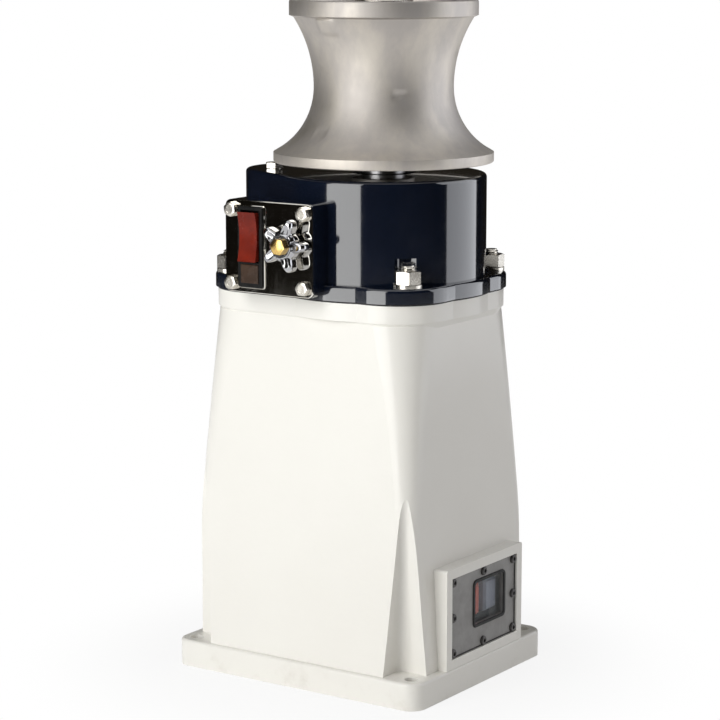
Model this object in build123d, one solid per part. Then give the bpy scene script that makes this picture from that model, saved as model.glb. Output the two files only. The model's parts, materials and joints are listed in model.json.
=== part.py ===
from build123d import *
import math
import os

# Electric deck capstan (anchor windlass with an upright rope drum), in millimetres.
# The origin is the middle of the base's underside. +X points away from the idler lobe of the
# gear case, +Y points away from the switch side and +Z runs up along the drum axis.

# General fits and joints between pieces
running_clearance = 0.05
seat_clearance = 0.02
bolt_clearance = 0.5
gasket_thickness = 1.5
bolt_face_share = 0.96
bolt_face_bevel = 30

# Base plate of the pedestal
base_length = 238
base_width = 198
base_thickness = 22
base_corner_radius = 13
base_hole_diameter = 11
base_hole_edge = 13
base_edge_radius = 2.5

# Tapered trunk of the pedestal
base_ledge_x = 8
base_ledge_y = 4
waist_draw_x = 7
waist_draw_y = 9.5
top_draw_x = 3.5
top_draw_y = 5
trunk_waist_height = 165
trunk_foot_radius = 14
trunk_waist_radius = 15
trunk_top_radius = 36
trunk_height = 300
trunk_edge = 2
casting_wall = 7
collar_height = 14
collar_inset = 2
collar_blend = 15
blend_inset_x = 5.5
blend_inset_y = 4.5
blend_radius = 36
blend_lip = 1
deck_thickness = 24

# Corner pockets that leave room for the foundation bolts
pocket_length = 26
pocket_width = 23
pocket_height = 180
pocket_lean_x = 11.5
pocket_lean_y = 10.5
pocket_corner_radius = 6

# Terminal box on the right side of the trunk
box_width = 116
box_height = 82
box_middle = 3
box_border = 8
box_corner_radius = 2
cover_thickness = 3
cover_recess = 2
terminal_room_depth = 18
pane_width = 44
pane_height = 34
pane_side_gap = 8
pane_top_gap = 1
pane_thickness = 2
pane_lap = 3
pane_corner_radius = 2
cover_corner_radius = 1.5

# Flange and body of the gear case
flange_length = 214
flange_width = 168
flange_corner_radius = 45
flange_thickness = 12
flange_ring = 6
case_height = 93
case_wall = 8
case_top = 9
case_edge_radius = 3
floor_thickness = 10
floor_lap = 4
lower_seat_wall = 5
spot_face_wall = 5

# Drum axis, idler lobe and gear train
drum_axis_x = 22
wheel_clearance = 8
lobe_clearance = 2.5
pressure_angle = 25
tooth_backlash = 0.24
dedendum = 1.25
wheel_rim = 3
idler_wheel_teeth = 48
rotor_pinion_teeth = 12
first_module = 1.5
first_face = 14
drum_wheel_teeth = 65
idler_pinion_teeth = 13
second_module = 2
second_face = 22
wheel_web = 9
rotor_swing = 30
gear_floor_gap = 12.5
gear_stage_gap = 4
tooth_extra = 4

# Studs that clamp the gear case
stud_pitch_x = 172
stud_pitch_y = 124
stud_diameter = 12
stud_depth = 20
stud_free_end = 4
stud_chamfer = 1
nut_flats = 19
nut_height = 10.8
washer_diameter = 22
washer_thickness = 2.5

# Switch chest on the front of the gear case
chest_width = 84
chest_height = 73
chest_middle = -17
chest_bottom = 3
chest_reach = 101.5
chest_wall = 6
chest_edge_radius = 4
plate_thickness = 2.5
plate_corner_radius = 5
plate_edge = 0.6
plate_bolt_pitch_x = 69
plate_bolt_pitch_z = 58
plate_bolt_diameter = 6
plate_bolt_flats = 10
plate_bolt_head = 5
plate_bolt_length = 14

# Rocker switch and its lamp
switch_offset_x = -16
switch_width = 24
switch_height = 64
switch_rim = 2
bezel_height = 3
rocker_height = 39
rocker_width = 17
rocker_offset_z = 8.5
rocker_end_gap = 1.2
rocker_side_gap = 0.4
rocker_taper = 1
rocker_hollow = 3
rocker_pin_depth = 1.5
rocker_pin_lap = 1.2
rocker_rise = 5
rocker_pin_diameter = 3
lamp_height = 15
lamp_offset_z = -21
lamp_rise = 1
lamp_edge = 0.8
switch_corner_radius = 2
opening_corner_radius = 1
bezel_edge = 1
switch_body_depth = 22

# Speed knob
knob_offset_x = 22
knob_offset_z = 4.5
knob_radius = 21
knob_lobes = 5
knob_thickness = 10
knob_scallop_radius = 9
knob_scallop_place = 21.5
knob_lobe_edge = 2.5
knob_hub_radius = 9.5
knob_hub_rise = 1
knob_gap = 1
knob_nut_flats = 13
knob_nut_height = 5
spindle_diameter = 6
dial_body_diameter = 24
dial_body_depth = 12
bush_diameter = 12
bush_nut_flats = 16
bush_nut_height = 2.5
bush_reach = 3

# Rope drum
drum_gap = 9
drum_height = 128.5
drum_foot_radius = 88.5
drum_foot_thickness = 9.5
drum_foot_lip = 2.5
drum_edge = 1.5
drum_waist_radius = 56
drum_waist_height = 60
drum_neck_radius = 72
drum_head_radius = 75.5
drum_head_thickness = 13.5
drum_wall = 8
drum_pan_radius = 66
drum_pan_depth = 5
drum_web = 11
drum_hub_radius = 25
drum_neck_wall = 12
hub_drop = 5

# Drum shaft
hub_shaft_diameter = 28
bearing_shaft_diameter = 35
wheel_shaft_diameter = 38
foot_shaft_diameter = 25
key_width = 8
key_height = 7
key_length = 90
shaft_short = 1

# Bearings and seal of the drum shaft
upper_bearing_diameter = 72
upper_bearing_width = 17
lower_bearing_diameter = 52
lower_bearing_width = 15
race_thickness = 5.5
seal_diameter = 50
seal_width = 6
bearing_floor = 3
race_gap = 0.3

# Idler shaft and its bushes
idler_shaft_diameter = 16
bush_wall = 3
idler_bush_length = 9

# Retaining washer and bolt on top of the drum
cap_diameter = 47
cap_thickness = 6
cap_edge = 1.5
cap_bolt_diameter = 12
cap_bolt_flats = 19
cap_bolt_head = 7.5
cap_bolt_reach = 26

# Motor
motor_diameter = 94
motor_length = 150
motor_shell = 4
motor_opening_gap = 3
motor_screw_seat = 3
motor_screw_head = 4
motor_screw_head_diameter = 10
motor_foot_edge = 3
motor_head_thickness = 10
motor_foot_thickness = 12
motor_spigot_diameter = 34
motor_spigot_height = 4
motor_screw_circle = 74
motor_screw_diameter = 6
motor_screw_angles = (30, 155, 255)
motor_shaft_diameter = 12
magnet_thickness = 8
magnet_sweep = 130
magnet_length = 80
air_gap = 1
core_length = 76
core_slots = 12
core_slot_width = 5
core_slot_depth = 12
commutator_diameter = 34
commutator_length = 22
brush_width = 10
brush_length = 12
motor_bush_length = 8
brush_ring_height = 16
brush_ring_gap = 1.5
commutator_gap = 4
magnet_head_gap = 15

# Oil plug on the lobe
plug_x = -72
plug_y = -20
plug_diameter = 12
plug_flats = 13
plug_head = 5
plug_reach = 7

# Terminals behind the window
terminal_block_gap = 7
terminal_block_height = 40
terminal_block_depth = 6
terminal_block_radius = 2
terminal_pitch = 26
terminal_diameter = 8
terminal_reach = 6
boot_width = 18
boot_height = 26
boot_depth = 9
boot_edge = 2

# Screws of the terminal cover
cover_screw_diameter = 4
cover_screw_head_diameter = 7.5
cover_screw_head = 2
cover_screw_length = 9
cover_screw_edge = 0.7

# Lengths, levels and centres that follow from the sizes above
trunk_foot_length = base_length - 2 * base_ledge_x
trunk_foot_width = base_width - 2 * base_ledge_y
trunk_waist_length = trunk_foot_length - 2 * waist_draw_x
trunk_waist_width = trunk_foot_width - 2 * waist_draw_y
trunk_top_length = trunk_waist_length - 2 * top_draw_x
trunk_top_width = trunk_waist_width - 2 * top_draw_y
blend_length = trunk_top_length - 2 * blend_inset_x
blend_width = trunk_top_width - 2 * blend_inset_y
collar_top = trunk_height + collar_height
case_bottom = collar_top + gasket_thickness
flange_top = case_bottom + flange_thickness
case_ceiling = case_bottom + case_height - case_top
case_roof = case_bottom + case_height
floor_top = case_bottom + floor_thickness
drum_bottom = case_roof + drum_gap
drum_roof = drum_bottom + drum_height
pan_level = drum_roof - drum_pan_depth
shaft_end = pan_level - shaft_short

drum_wheel_radius = second_module * (drum_wheel_teeth + 2) / 2
idler_wheel_radius = first_module * (idler_wheel_teeth + 2) / 2
case_radius = drum_wheel_radius + wheel_clearance + case_wall
lobe_radius = idler_wheel_radius + lobe_clearance + case_wall
idler_distance = second_module * (drum_wheel_teeth + idler_pinion_teeth) / 2
rotor_distance = first_module * (idler_wheel_teeth + rotor_pinion_teeth) / 2
idler_x = drum_axis_x - idler_distance
rotor_x = idler_x + rotor_distance * math.cos(math.radians(rotor_swing))
rotor_y = rotor_distance * math.sin(math.radians(rotor_swing))

first_level = floor_top + gear_floor_gap
second_level = first_level + first_face + gear_stage_gap + tooth_extra / 2

plate_face = -(chest_reach + plate_thickness)
chest_low = case_bottom + chest_bottom
chest_centre = chest_low + chest_height / 2
switch_x = chest_middle + switch_offset_x
knob_x = chest_middle + knob_offset_x
knob_z = chest_centre + knob_offset_z

box_reach = base_length / 2
cover_face = box_reach - cover_recess
cover_back = cover_face - cover_thickness
box_centre = base_thickness + box_height / 2
cover_width = box_width - 2 * box_border
cover_height = box_height - 2 * box_border
room_width = cover_width - 2 * box_border
room_height = cover_height - 2 * box_border
room_back = cover_back - terminal_room_depth
terminal_block_width = room_width - 2 * terminal_block_gap
pane_offset_y = room_width / 2 - pane_side_gap - pane_lap - pane_width / 2
pane_offset_z = room_height / 2 - pane_top_gap - pane_lap - pane_height / 2
pane_y = box_middle + pane_offset_y
pane_z = box_centre + pane_offset_z

lower_bearing_level = case_bottom + bearing_floor
lower_bearing_top = lower_bearing_level + lower_bearing_width
upper_bearing_level = case_roof - seal_width - bearing_floor - upper_bearing_width

motor_top = case_bottom
motor_head_bottom = motor_top - motor_head_thickness
motor_bottom = motor_top - motor_length
magnet_level = motor_head_bottom - magnet_head_gap - magnet_length
brush_level = motor_bottom + motor_foot_thickness + commutator_gap

FRONT = Plane.XZ
SIDE = Plane.YZ


def tube(outer_radius, inner_radius, height):
    # upright ring standing on its own origin
    return extrude(Circle(outer_radius) - Circle(inner_radius), height)


def rod(radius, height):
    return extrude(Circle(radius), height)


def corners(pitch_x, pitch_y):
    return [(x, y) for x in (-pitch_x / 2, pitch_x / 2) for y in (-pitch_y / 2, pitch_y / 2)]


def hexagon(flats, height):
    # hexagon prism with its top corners turned off
    prism = extrude(RegularPolygon(flats / 2, 6, major_radius=False), height)
    corner = flats / math.sqrt(3)
    face = flats * bolt_face_share / 2
    drop = (corner - face) * math.tan(math.radians(bolt_face_bevel))
    profile = Polyline(
        (0, 0), (corner, 0), (corner, height - drop), (face, height), (0, height), close=True
    )
    return prism & revolve(make_face(FRONT * profile), Axis.Z)


def involute(angle):
    return math.tan(angle) - angle


def gear_blank(teeth, module):
    # outline of a spur gear with a tooth centred on +X and flanks taken from the involute
    angle = math.radians(pressure_angle)
    pitch_radius = module * teeth / 2
    base_radius = pitch_radius * math.cos(angle)
    tip_radius = pitch_radius + module
    root_radius = pitch_radius - dedendum * module
    half_tooth = math.pi / (2 * teeth) - tooth_backlash / (4 * pitch_radius) + involute(angle)
    start_radius = max(base_radius, root_radius)
    radii = [start_radius, (start_radius + tip_radius) / 2, tip_radius]
    flank = [(r, half_tooth - involute(math.acos(min(1, base_radius / r)))) for r in radii]
    if start_radius > root_radius:
        flank = [(root_radius, flank[0][1])] + flank
    points = []
    for tooth in range(teeth):
        middle = 2 * math.pi * tooth / teeth
        rise = [(r, middle - a) for r, a in flank]
        fall = [(r, middle + a) for r, a in reversed(flank)]
        points += [(r * math.cos(a), r * math.sin(a)) for r, a in rise + fall]
    return make_face(Polyline(*points, close=True))


def spur_gear(teeth, module, face, bore_radius):
    return extrude(gear_blank(teeth, module) - Circle(bore_radius), face)


def case_outline(drum_radius, lobe):
    # two circles round the drum axis and the idler axis, joined by their common tangents
    rounds = Pos(drum_axis_x, 0) * Circle(drum_radius) + Pos(idler_x, 0) * Circle(lobe)
    return make_hull(rounds.edges())


def flange_outline(inset):
    plate = RectangleRounded(
        flange_length - 2 * inset, flange_width - 2 * inset, flange_corner_radius - inset
    )
    return plate + Pos(drum_axis_x, 0) * Circle(case_radius + flange_ring - inset)


def trunk_form(inset):
    # the three sections of the trunk: foot, waist and top
    sections = [
        (base_thickness, trunk_foot_length, trunk_foot_width, trunk_foot_radius),
        (trunk_waist_height, trunk_waist_length, trunk_waist_width, trunk_waist_radius),
        (trunk_height, trunk_top_length, trunk_top_width, trunk_top_radius),
    ]
    return loft(
        [
            Pos(0, 0, level)
            * RectangleRounded(length - 2 * inset, width - 2 * inset, radius - inset)
            for level, length, width, radius in sections
        ],
        ruled=inset > 0,
    )


def corner_pocket():
    # one scoop at the +X +Y corner: wide at the foot and running out at its top
    outline = RectangleRounded(2 * pocket_length, 2 * pocket_width, pocket_corner_radius)
    foot = Pos(trunk_foot_length / 2, trunk_foot_width / 2, base_thickness)
    lean = Pos(pocket_lean_x, pocket_lean_y, pocket_height - base_thickness)
    return loft([foot * outline, foot * lean * outline], ruled=True)


def pedestal():
    foot = extrude(RectangleRounded(base_length, base_width, base_corner_radius), base_thickness)
    foot = fillet(foot.faces().sort_by(Axis.Z)[-1].edges(), base_edge_radius)
    trunk = trunk_form(0)
    trunk = chamfer(trunk.faces().sort_by(Axis.Z)[-1].edges(), trunk_edge)
    pocket = corner_pocket()
    for cutter in (pocket, mirror(pocket, Plane.YZ), mirror(pocket, Plane.XZ)):
        trunk -= cutter
    trunk -= mirror(mirror(pocket, Plane.YZ), Plane.XZ)
    collar = extrude(Pos(0, 0, trunk_height) * flange_outline(collar_inset), collar_height)
    lip = 2 * (collar_inset + blend_lip)
    blend = loft(
        [
            Pos(0, 0, trunk_height - collar_blend)
            * RectangleRounded(blend_length, blend_width, blend_radius),
            Pos(0, 0, trunk_height)
            * RectangleRounded(flange_length - lip, flange_width - lip, flange_corner_radius - lip / 2),
        ],
        ruled=True,
    )
    frame = Pos(box_reach / 2, box_middle, box_centre) * Box(box_reach, box_width, box_height)
    frame = fillet(frame.edges().filter_by(Axis.X).group_by(Axis.Z)[-1], box_corner_radius)
    solid = foot + trunk + collar + blend + frame

    hollow = trunk_form(casting_wall)
    lid = Pos(0, 0, trunk_height - deck_thickness + collar_height) * Box(
        base_length, base_width, base_length, align=(Align.CENTER, Align.CENTER, Align.MIN)
    )
    hollow -= lid
    hollow += extrude(
        RectangleRounded(
            trunk_foot_length - 2 * casting_wall,
            trunk_foot_width - 2 * casting_wall,
            trunk_foot_radius - casting_wall,
        ),
        base_thickness,
    )
    for x, y in corners(trunk_foot_length, trunk_foot_width):
        block = Box(
            2 * (pocket_length + casting_wall),
            2 * (pocket_width + casting_wall),
            pocket_height,
            align=(Align.CENTER, Align.CENTER, Align.MIN),
        )
        hollow -= Pos(x, y, 0) * block
    wall_block = Pos(room_back - casting_wall, box_middle, box_centre) * Box(
        base_length,
        room_width + 2 * casting_wall,
        room_height + 2 * casting_wall,
        align=(Align.MIN, Align.CENTER, Align.CENTER),
    )
    hollow -= wall_block
    solid -= hollow
    solid -= Pos(rotor_x, rotor_y, trunk_height - deck_thickness) * rod(
        motor_diameter / 2 + motor_opening_gap, 2 * deck_thickness
    )
    solid -= Pos(cover_back, box_middle, box_centre) * Box(
        box_width, cover_width, cover_height, align=(Align.MIN, Align.CENTER, Align.CENTER)
    )
    solid -= Pos(room_back, box_middle, box_centre) * Box(
        box_width, room_width, room_height, align=(Align.MIN, Align.CENTER, Align.CENTER)
    )
    for x, y in base_holes():
        solid -= Pos(x, y, 0) * rod(base_hole_diameter / 2, base_thickness)
    for x, y in corners(stud_pitch_x, stud_pitch_y):
        solid -= Pos(x, y, collar_top - stud_depth) * rod(
            stud_diameter / 2 + seat_clearance, stud_depth
        )
    for y, z in cover_screw_places():
        solid -= SIDE.offset(cover_back) * Pos(y, z) * rod(
            cover_screw_diameter / 2 + seat_clearance, -cover_screw_length
        )
    return solid


def base_holes():
    return corners(
        base_length - 2 * base_hole_edge,
        base_width - 2 * base_hole_edge,
    )


def cover_screw_places():
    inset = box_border / 2
    half_y = cover_width / 2 - inset
    half_z = cover_height / 2 - inset
    places = [(y, z) for y in (-half_y, 0, half_y) for z in (-half_z, 0, half_z) if (y, z) != (0, 0)]
    return [(box_middle + y, box_centre + z) for y, z in places]


def case_gasket():
    sheet = extrude(Pos(0, 0, collar_top) * flange_outline(collar_inset), gasket_thickness)
    sheet -= Pos(rotor_x, rotor_y, collar_top) * rod(
        motor_diameter / 2 + motor_opening_gap, gasket_thickness
    )
    for x, y in corners(stud_pitch_x, stud_pitch_y):
        sheet -= Pos(x, y, collar_top) * rod(stud_diameter / 2 + bolt_clearance, gasket_thickness)
    return sheet


def chest_block(inset, depth):
    # box of the switch chest, drawn from its open front towards the back
    block = Box(
        chest_width - 2 * inset,
        depth,
        chest_height - 2 * inset,
        align=(Align.CENTER, Align.MIN, Align.CENTER),
    )
    return Pos(chest_middle, -chest_reach, chest_centre) * block


def gear_case():
    flange = extrude(Pos(0, 0, case_bottom) * flange_outline(0), flange_thickness)
    flange = fillet(flange.faces().sort_by(Axis.Z)[-1].edges(), case_edge_radius)
    tower = extrude(Pos(0, 0, case_bottom) * case_outline(case_radius, lobe_radius), case_height)
    tower = fillet(tower.faces().sort_by(Axis.Z)[-1].edges(), case_edge_radius)
    chest = chest_block(0, chest_reach)
    chest = fillet(chest.edges().filter_by(Axis.Y), chest_edge_radius)
    inner = case_outline(case_radius - case_wall, lobe_radius - case_wall)
    room = extrude(Pos(0, 0, case_bottom) * inner, case_ceiling - case_bottom)
    seat = case_outline(case_radius - case_wall + floor_lap, lobe_radius - case_wall + floor_lap)
    room += extrude(Pos(0, 0, case_bottom) * seat, floor_thickness)
    chest_room = chest_block(chest_wall, chest_reach) - tower
    solid = flange + tower + chest - chest_room - room

    bearing_radius = upper_bearing_diameter / 2
    boss_height = upper_bearing_width + bearing_floor
    solid += Pos(drum_axis_x, 0, upper_bearing_level) * rod(bearing_radius + case_wall, boss_height)
    solid -= Pos(drum_axis_x, 0, upper_bearing_level) * rod(
        bearing_radius + seat_clearance, upper_bearing_width
    )
    solid -= Pos(drum_axis_x, 0, case_roof - seal_width) * rod(seal_diameter / 2, seal_width)
    solid -= Pos(drum_axis_x, 0, upper_bearing_level) * rod(bearing_radius - bearing_floor, boss_height)
    bush_radius = idler_shaft_diameter / 2 + bush_wall
    bush_level = case_ceiling - idler_bush_length
    solid += Pos(idler_x, 0, bush_level) * tube(
        bush_radius + case_wall / 2, bush_radius, idler_bush_length
    )
    spot_face = washer_diameter / 2 + bolt_clearance
    for y in (-stud_pitch_y / 2, stud_pitch_y / 2):
        # pad inside the tower, behind the room that a stud's nut needs
        pad = Pos(stud_pitch_x / 2, y, floor_top) * rod(
            spot_face + spot_face_wall, flange_top - floor_top + 2 * nut_height + spot_face_wall
        )
        solid += pad & room
    for x, y in corners(stud_pitch_x, stud_pitch_y):
        solid -= Pos(x, y, case_bottom) * rod(stud_diameter / 2 + bolt_clearance, flange_thickness)
        solid -= Pos(x, y, flange_top) * rod(spot_face, nut_height * 2)
    solid -= Pos(plug_x, plug_y, case_ceiling) * rod(plug_diameter / 2 + seat_clearance, case_top)
    for x, z in plate_bolt_places():
        solid += Pos(x, -chest_reach, z) * Rot(-90, 0, 0) * rod(plate_bolt_diameter, plate_bolt_length)
        solid -= Pos(x, -chest_reach, z) * Rot(-90, 0, 0) * rod(
            plate_bolt_diameter / 2 + seat_clearance, plate_bolt_length - plate_thickness
        )
    return solid


def plate_bolt_places():
    pitches = corners(plate_bolt_pitch_x, plate_bolt_pitch_z)
    return [(chest_middle + x, chest_centre + z) for x, z in pitches]


def gear_floor():
    # plate under the gear case, with the seats of the lower bearing and the idler bush
    fit = running_clearance
    outline = case_outline(
        case_radius - case_wall + floor_lap - fit, lobe_radius - case_wall + floor_lap - fit
    )
    plate = extrude(Pos(0, 0, case_bottom) * outline, floor_thickness)
    radius = lower_bearing_diameter / 2
    plate += Pos(drum_axis_x, 0, case_bottom) * rod(
        radius + lower_seat_wall, bearing_floor + lower_bearing_width
    )
    plate -= Pos(drum_axis_x, 0, lower_bearing_level) * rod(
        radius + seat_clearance, lower_bearing_width
    )
    bush_radius = idler_shaft_diameter / 2 + bush_wall
    plate -= Pos(idler_x, 0, floor_top - idler_bush_length) * rod(bush_radius, idler_bush_length)
    plate -= Pos(rotor_x, rotor_y, case_bottom) * rod(
        motor_shaft_diameter / 2 + bush_wall, floor_thickness
    )
    plate -= Pos(rotor_x, rotor_y, case_bottom) * rod(motor_spigot_diameter / 2, motor_spigot_height)
    for x, y in motor_screw_places():
        plate -= Pos(x, y, case_bottom) * rod(
            motor_screw_diameter / 2 + seat_clearance, floor_thickness
        )
    return plate


def motor_screw_places():
    places = []
    for turn in motor_screw_angles:
        angle = math.radians(turn)
        x = rotor_x + motor_screw_circle / 2 * math.cos(angle)
        y = rotor_y + motor_screw_circle / 2 * math.sin(angle)
        places.append((x, y))
    return places


def case_studs():
    length = stud_depth + gasket_thickness + flange_thickness + washer_thickness
    length += nut_height + stud_free_end
    stud = rod(stud_diameter / 2, length)
    stud = chamfer(stud.faces().sort_by(Axis.Z)[-1].edges(), stud_chamfer)
    places = corners(stud_pitch_x, stud_pitch_y)
    return Compound([Pos(x, y, collar_top - stud_depth) * stud for x, y in places])


def case_washers():
    ring = tube(washer_diameter / 2, stud_diameter / 2 + seat_clearance, washer_thickness)
    return Compound([Pos(x, y, flange_top) * ring for x, y in corners(stud_pitch_x, stud_pitch_y)])


def case_nuts():
    nut = hexagon(nut_flats, nut_height) - rod(stud_diameter / 2 + seat_clearance, nut_height)
    level = flange_top + washer_thickness
    return Compound([Pos(x, y, level) * nut for x, y in corners(stud_pitch_x, stud_pitch_y)])


def on_plate(x, z, depth=0):
    # frame on the switch plate, looking out of it; depth counts outwards from its face
    return Pos(x, plate_face - depth, z) * Rot(90, 0, 0)


def switch_plate():
    outline = RectangleRounded(chest_width, chest_height, plate_corner_radius)
    plate = extrude(outline, -plate_thickness)
    plate = chamfer(plate.faces().sort_by(Axis.Z)[-1].edges(), plate_edge)
    opening = RectangleRounded(
        switch_width - 2 * switch_rim, switch_height - 2 * switch_rim, opening_corner_radius
    )
    plate -= Pos(switch_offset_x, 0, 0) * extrude(opening, -plate_thickness)
    plate -= Pos(knob_offset_x, knob_offset_z, -plate_thickness) * rod(
        bush_diameter / 2 + seat_clearance, plate_thickness
    )
    for x, z in corners(plate_bolt_pitch_x, plate_bolt_pitch_z):
        plate -= Pos(x, z, -plate_thickness) * rod(
            plate_bolt_diameter / 2 + bolt_clearance, plate_thickness
        )
    return on_plate(chest_middle, chest_centre) * plate


def plate_bolts():
    shank = Pos(0, 0, -plate_bolt_length) * rod(plate_bolt_diameter / 2, plate_bolt_length)
    bolt = hexagon(plate_bolt_flats, plate_bolt_head) + shank
    return Compound([on_plate(x, z) * bolt for x, z in plate_bolt_places()])


def switch_bezel():
    # frame in the plate with the body of the switch behind it
    rim = extrude(RectangleRounded(switch_width, switch_height, switch_corner_radius), bezel_height)
    rim = fillet(rim.faces().sort_by(Axis.Z)[-1].edges(), bezel_edge)
    inset = 2 * (switch_rim + seat_clearance)
    body = RectangleRounded(switch_width - inset, switch_height - inset, opening_corner_radius)
    bezel = rim + extrude(body, -switch_body_depth)
    rocker_room = Pos(0, rocker_offset_z, bezel_height) * Box(
        rocker_width + 2 * rocker_side_gap,
        rocker_height + 2 * rocker_end_gap,
        2 * (bezel_height + plate_thickness + rocker_rise),
    )
    lamp_room = Pos(0, lamp_offset_z, bezel_height) * Box(
        rocker_width, lamp_height, 2 * bezel_height
    )
    bezel -= rocker_room + lamp_room
    pin = Pos(0, rocker_offset_z, -rocker_pin_depth) * Rot(0, 90, 0) * Cylinder(
        rocker_pin_diameter / 2, rocker_width + 2 * rocker_pin_lap
    )
    bezel -= pin
    return on_plate(switch_x, chest_centre) * bezel


def rocker_pin():
    pin = Rot(0, 90, 0) * Cylinder(
        rocker_pin_diameter / 2 - seat_clearance, rocker_width + 2 * rocker_pin_lap
    )
    return on_plate(switch_x, chest_centre) * Pos(0, rocker_offset_z, -rocker_pin_depth) * pin


def rocker():
    # paddle with a hollow face, pressed at its top or its foot and sprung to the middle
    half = rocker_height / 2
    depth = bezel_height + plate_thickness
    foot = half - rocker_taper
    outline = Polyline((-half, rocker_rise), (-foot, -depth), (foot, -depth), (half, rocker_rise))
    face_line = ThreePointArc(
        (half, rocker_rise), (0, rocker_rise - rocker_hollow), (-half, rocker_rise)
    )
    section = make_face(Plane.YZ * (outline + face_line))
    paddle = extrude(section, rocker_width / 2, both=True)
    pin_hole = Rot(0, 90, 0) * Cylinder(rocker_pin_diameter / 2 + running_clearance, rocker_width)
    paddle = Pos(0, 0, bezel_height) * paddle - Pos(0, 0, -rocker_pin_depth) * pin_hole
    return on_plate(switch_x, chest_centre) * Pos(0, rocker_offset_z, 0) * paddle


def switch_lamp():
    height = bezel_height + lamp_rise
    lens = Box(rocker_width - 2 * seat_clearance, lamp_height - 2 * seat_clearance, height)
    lens = fillet(lens.faces().sort_by(Axis.Z)[-1].edges(), lamp_edge)
    return on_plate(switch_x, chest_centre) * Pos(0, lamp_offset_z, height / 2) * lens


def knob_profile():
    # star grip: a disc with one scallop between each two lobes
    disc = Circle(knob_radius)
    for lobe in range(knob_lobes):
        angle = 360 * (lobe + 0.5) / knob_lobes
        disc -= Rot(0, 0, angle) * Pos(knob_scallop_place, 0) * Circle(knob_scallop_radius)
    return disc


def speed_knob():
    grip = extrude(knob_profile(), knob_thickness)
    grip = fillet(grip.edges().filter_by(Axis.Z), knob_lobe_edge)
    grip += rod(knob_hub_radius, knob_thickness + knob_hub_rise)
    grip -= rod(spindle_diameter / 2 + seat_clearance, knob_thickness + knob_hub_rise)
    return on_plate(knob_x, knob_z, knob_gap + bush_reach) * grip


def knob_nut():
    # cap nut: its thread ends short of its face
    nut = hexagon(knob_nut_flats, knob_nut_height)
    nut -= rod(spindle_diameter / 2 + seat_clearance, knob_nut_height - knob_hub_rise)
    return on_plate(knob_x, knob_z, knob_gap + bush_reach + knob_thickness + knob_hub_rise) * nut


def knob_spindle():
    length = knob_gap + bush_reach + knob_thickness + knob_nut_height - knob_hub_rise
    inside = plate_thickness + dial_body_depth / 2
    spindle = Pos(0, 0, -inside) * rod(spindle_diameter / 2, length + inside)
    return on_plate(knob_x, knob_z) * spindle


def speed_dial():
    # body of the speed control behind the plate, with its threaded bush through the plate
    body = Pos(0, 0, -plate_thickness - dial_body_depth) * rod(dial_body_diameter / 2, dial_body_depth)
    bush = Pos(0, 0, -plate_thickness) * rod(bush_diameter / 2, plate_thickness + bush_reach)
    inside = plate_thickness + dial_body_depth / 2
    hole = Pos(0, 0, -inside) * rod(spindle_diameter / 2 + running_clearance, inside + bush_reach)
    return on_plate(knob_x, knob_z) * (body + bush - hole)


def bush_nut():
    nut = hexagon(bush_nut_flats, bush_nut_height)
    nut -= rod(bush_diameter / 2 + seat_clearance, bush_nut_height)
    return on_plate(knob_x, knob_z) * nut


def drum():
    # hourglass casting: rope surface, hub and top web in one revolve
    neck_level = drum_height - drum_head_thickness
    pan_floor = drum_height - drum_pan_depth
    web_level = pan_floor - drum_web
    waist = (drum_waist_radius, drum_waist_height)
    foot = (drum_foot_radius - drum_foot_lip, drum_foot_thickness)
    neck = (drum_neck_radius, neck_level)
    inner_waist = (drum_waist_radius - drum_wall, drum_waist_height)
    inner_foot = (foot[0] - drum_neck_wall, drum_foot_thickness)
    inner_neck = (drum_neck_radius - drum_neck_wall, web_level)
    bore = hub_shaft_diameter / 2 + seat_clearance
    outline = Polyline(
        inner_foot, (drum_foot_radius - drum_wall, 0), (drum_foot_radius - drum_edge, 0),
        (drum_foot_radius, drum_edge), (drum_foot_radius, drum_foot_thickness - drum_edge), foot,
    )
    outline += ThreePointArc(foot, waist_point(foot, waist), waist)
    outline += ThreePointArc(waist, waist_point(neck, waist), neck)
    outline += Polyline(
        neck, (drum_head_radius, neck_level + drum_edge),
        (drum_head_radius, drum_height - drum_edge), (drum_head_radius - drum_edge, drum_height),
        (drum_pan_radius + drum_edge, drum_height), (drum_pan_radius, pan_floor), (bore, pan_floor),
        (bore, -hub_drop), (drum_hub_radius, -hub_drop), (drum_hub_radius, web_level), inner_neck,
    )
    outline += ThreePointArc(inner_neck, waist_point(inner_neck, inner_waist), inner_waist)
    outline += ThreePointArc(inner_waist, waist_point(inner_foot, inner_waist), inner_foot)
    casting = revolve(make_face(FRONT * outline), Axis.Z)
    return Pos(drum_axis_x, 0, drum_bottom) * casting


def waist_point(end, waist):
    # middle of the arc from one end of a side to its waist, where the arc stands upright
    run = end[0] - waist[0]
    rise = end[1] - waist[1]
    radius = (run * run + rise * rise) / (2 * run)
    half_angle = math.atan2(rise, radius - run) / 2
    return (
        waist[0] + radius - radius * math.cos(half_angle),
        waist[1] + radius * math.sin(half_angle),
    )


def drum_key():
    # parallel key between the shaft and the hub
    key = Box(key_width, key_height, key_length, align=(Align.CENTER, Align.CENTER, Align.MAX))
    return Pos(drum_axis_x, hub_shaft_diameter / 2, shaft_end - key_height) * key


def keyway():
    slack = 2 * seat_clearance
    slot = Box(
        key_width + slack,
        key_height + slack,
        key_length + slack,
        align=(Align.CENTER, Align.CENTER, Align.MAX),
    )
    return Pos(drum_axis_x, hub_shaft_diameter / 2, shaft_end - key_height + seat_clearance) * slot


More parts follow.
